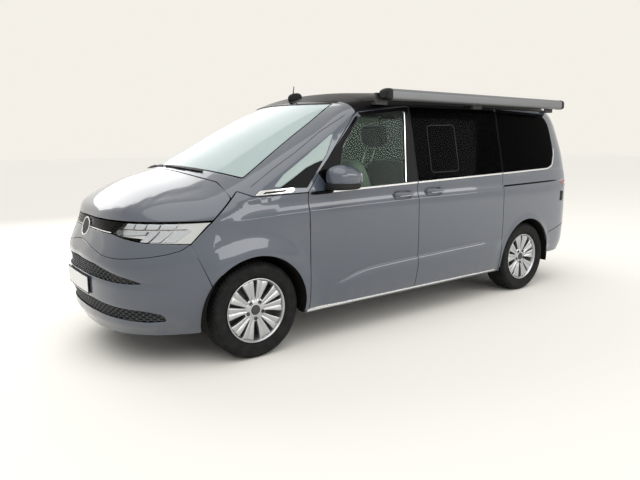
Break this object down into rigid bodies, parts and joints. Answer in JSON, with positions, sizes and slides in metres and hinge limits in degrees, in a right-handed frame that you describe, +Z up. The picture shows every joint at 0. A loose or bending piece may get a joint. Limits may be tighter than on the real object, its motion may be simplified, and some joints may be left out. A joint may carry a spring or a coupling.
{
  "type": "camper van",
  "caption": "Camper van with a one-box body, hinged pop-up roof, roof-edge awning, hinged front doors, bonnet and tailgate, and steered front wheels.",
  "frame": {"origin": "on the ground below the middle of the van", "axes": "+X forward, +Y to the van's left, +Z up"},
  "size_m": [4.973, 2.2498, 1.9891],
  "materials": {
    "paint": "gloss metallic grey",
    "black_gloss": "gloss black",
    "black_plastic": "grained black",
    "underbody": "dark sealer",
    "clear_glass": "clear",
    "privacy_glass": "dark privacy tint",
    "lamp": "clear lens",
    "red_lamp": "red lens",
    "tyre": "matt",
    "alloy": "silver painted",
    "steel": "plain",
    "iron": "cast",
    "awning": "anthracite",
    "seat_cloth": "woven",
    "board": "wood grain"
  },
  "bodies": {
    "body": {"floor_pan": "underbody", "wheel_housings": "black_plastic", "fenders": "paint", "pillar_frame": "paint", "roof_frame": "paint", "roof_cap": "black_gloss", "sliding_doors": "paint", "quarter_panels": "paint", "front_bumper": "paint", "bumper_grilles": "black_plastic", "nose_panel": "paint", "nose_grille": "black_gloss", "headlamps": "lamp", "front_beam": "underbody", "rear_bumper": "paint", "tail_lamps": "red_lamp", "windscreen": "clear_glass", "quarter_lights": "clear_glass", "side_glass": "privacy_glass", "dashboard": "black_plastic", "steering_wheel": "black_plastic", "front_seats": "seat_cloth", "rear_bench": "seat_cloth", "kitchen_unit": "board", "engine": "iron", "front_axle": "iron", "rear_axle": "iron", "exhaust": "steel", "fuel_tank": "black_plastic", "tow_eye": "iron", "awning": "awning", "awning_brackets": "black_plastic", "antenna": "black_gloss", "panel_hinges": "iron"},
    "bonnet": {"bonnet": "paint"},
    "tailgate": {"tailgate": "paint", "tailgate_glass": "privacy_glass"},
    "pop_roof": {"pop_roof": "black_gloss"},
    "door_left": {"front_door_left": "paint", "door_glass_left": "clear_glass", "mirror_left": "paint"},
    "door_right": {"front_door_right": "paint", "door_glass_right": "clear_glass", "mirror_right": "paint"},
    "steer_left": {"knuckle_left": "iron"},
    "steer_right": {"knuckle_right": "iron"},
    "wheel_front_left": {"tyre_front_left": "tyre", "rim_front_left": "alloy"},
    "wheel_front_right": {"tyre_front_right": "tyre", "rim_front_right": "alloy"},
    "wheel_rear_left": {"tyre_rear_left": "tyre", "rim_rear_left": "alloy"},
    "wheel_rear_right": {"tyre_rear_right": "tyre", "rim_rear_right": "alloy"}
  },
  "joints": [
    {"name": "front_door_left", "type": "hinge", "parent": "body", "child": "door_left", "pos_m": [1.105, 0.96805, 0.79], "axis": [0, 0, -1], "range_deg": [0, 65]},
    {"name": "front_door_right", "type": "hinge", "parent": "body", "child": "door_right", "pos_m": [1.105, -0.96805, 0.79], "axis": [0, 0, 1], "range_deg": [0, 65]},
    {"name": "bonnet", "type": "hinge", "parent": "body", "child": "bonnet", "pos_m": [1.612, 0, 1.17], "axis": [0, -1, 0], "range_deg": [0, 40]},
    {"name": "tailgate", "type": "hinge", "parent": "body", "child": "tailgate", "pos_m": [-2.29, 0, 1.82789], "axis": [0, 1, 0], "range_deg": [0, 85]},
    {"name": "pop_roof", "type": "hinge", "parent": "body", "child": "pop_roof", "pos_m": [-2.19, 0, 1.90082], "axis": [0, -1, 0], "range_deg": [0, 20]},
    {"name": "steer_left", "type": "hinge", "parent": "body", "child": "steer_left", "pos_m": [1.5355, 0.754, 0.345], "axis": [0, 0, 1], "range_deg": [-35, 35]},
    {"name": "steer_right", "type": "hinge", "parent": "body", "child": "steer_right", "pos_m": [1.5355, -0.754, 0.345], "axis": [0, 0, 1], "range_deg": [-35, 35]},
    {"name": "wheel_front_left", "type": "hinge", "parent": "steer_left", "child": "wheel_front_left", "pos_m": [1.5355, 0.814, 0.345], "axis": [0, 1, 0], "continuous": true},
    {"name": "wheel_front_right", "type": "hinge", "parent": "steer_right", "child": "wheel_front_right", "pos_m": [1.5355, -0.814, 0.345], "axis": [0, 1, 0], "continuous": true},
    {"name": "wheel_rear_left", "type": "hinge", "parent": "body", "child": "wheel_rear_left", "pos_m": [-1.5885, 0.814, 0.345], "axis": [0, 1, 0], "continuous": true},
    {"name": "wheel_rear_right", "type": "hinge", "parent": "body", "child": "wheel_rear_right", "pos_m": [-1.5885, -0.814, 0.345], "axis": [0, 1, 0], "continuous": true}
  ],
  "couplings": [
    {"joint": "steer_right", "follows": "steer_left", "ratio": 1}
  ]
}
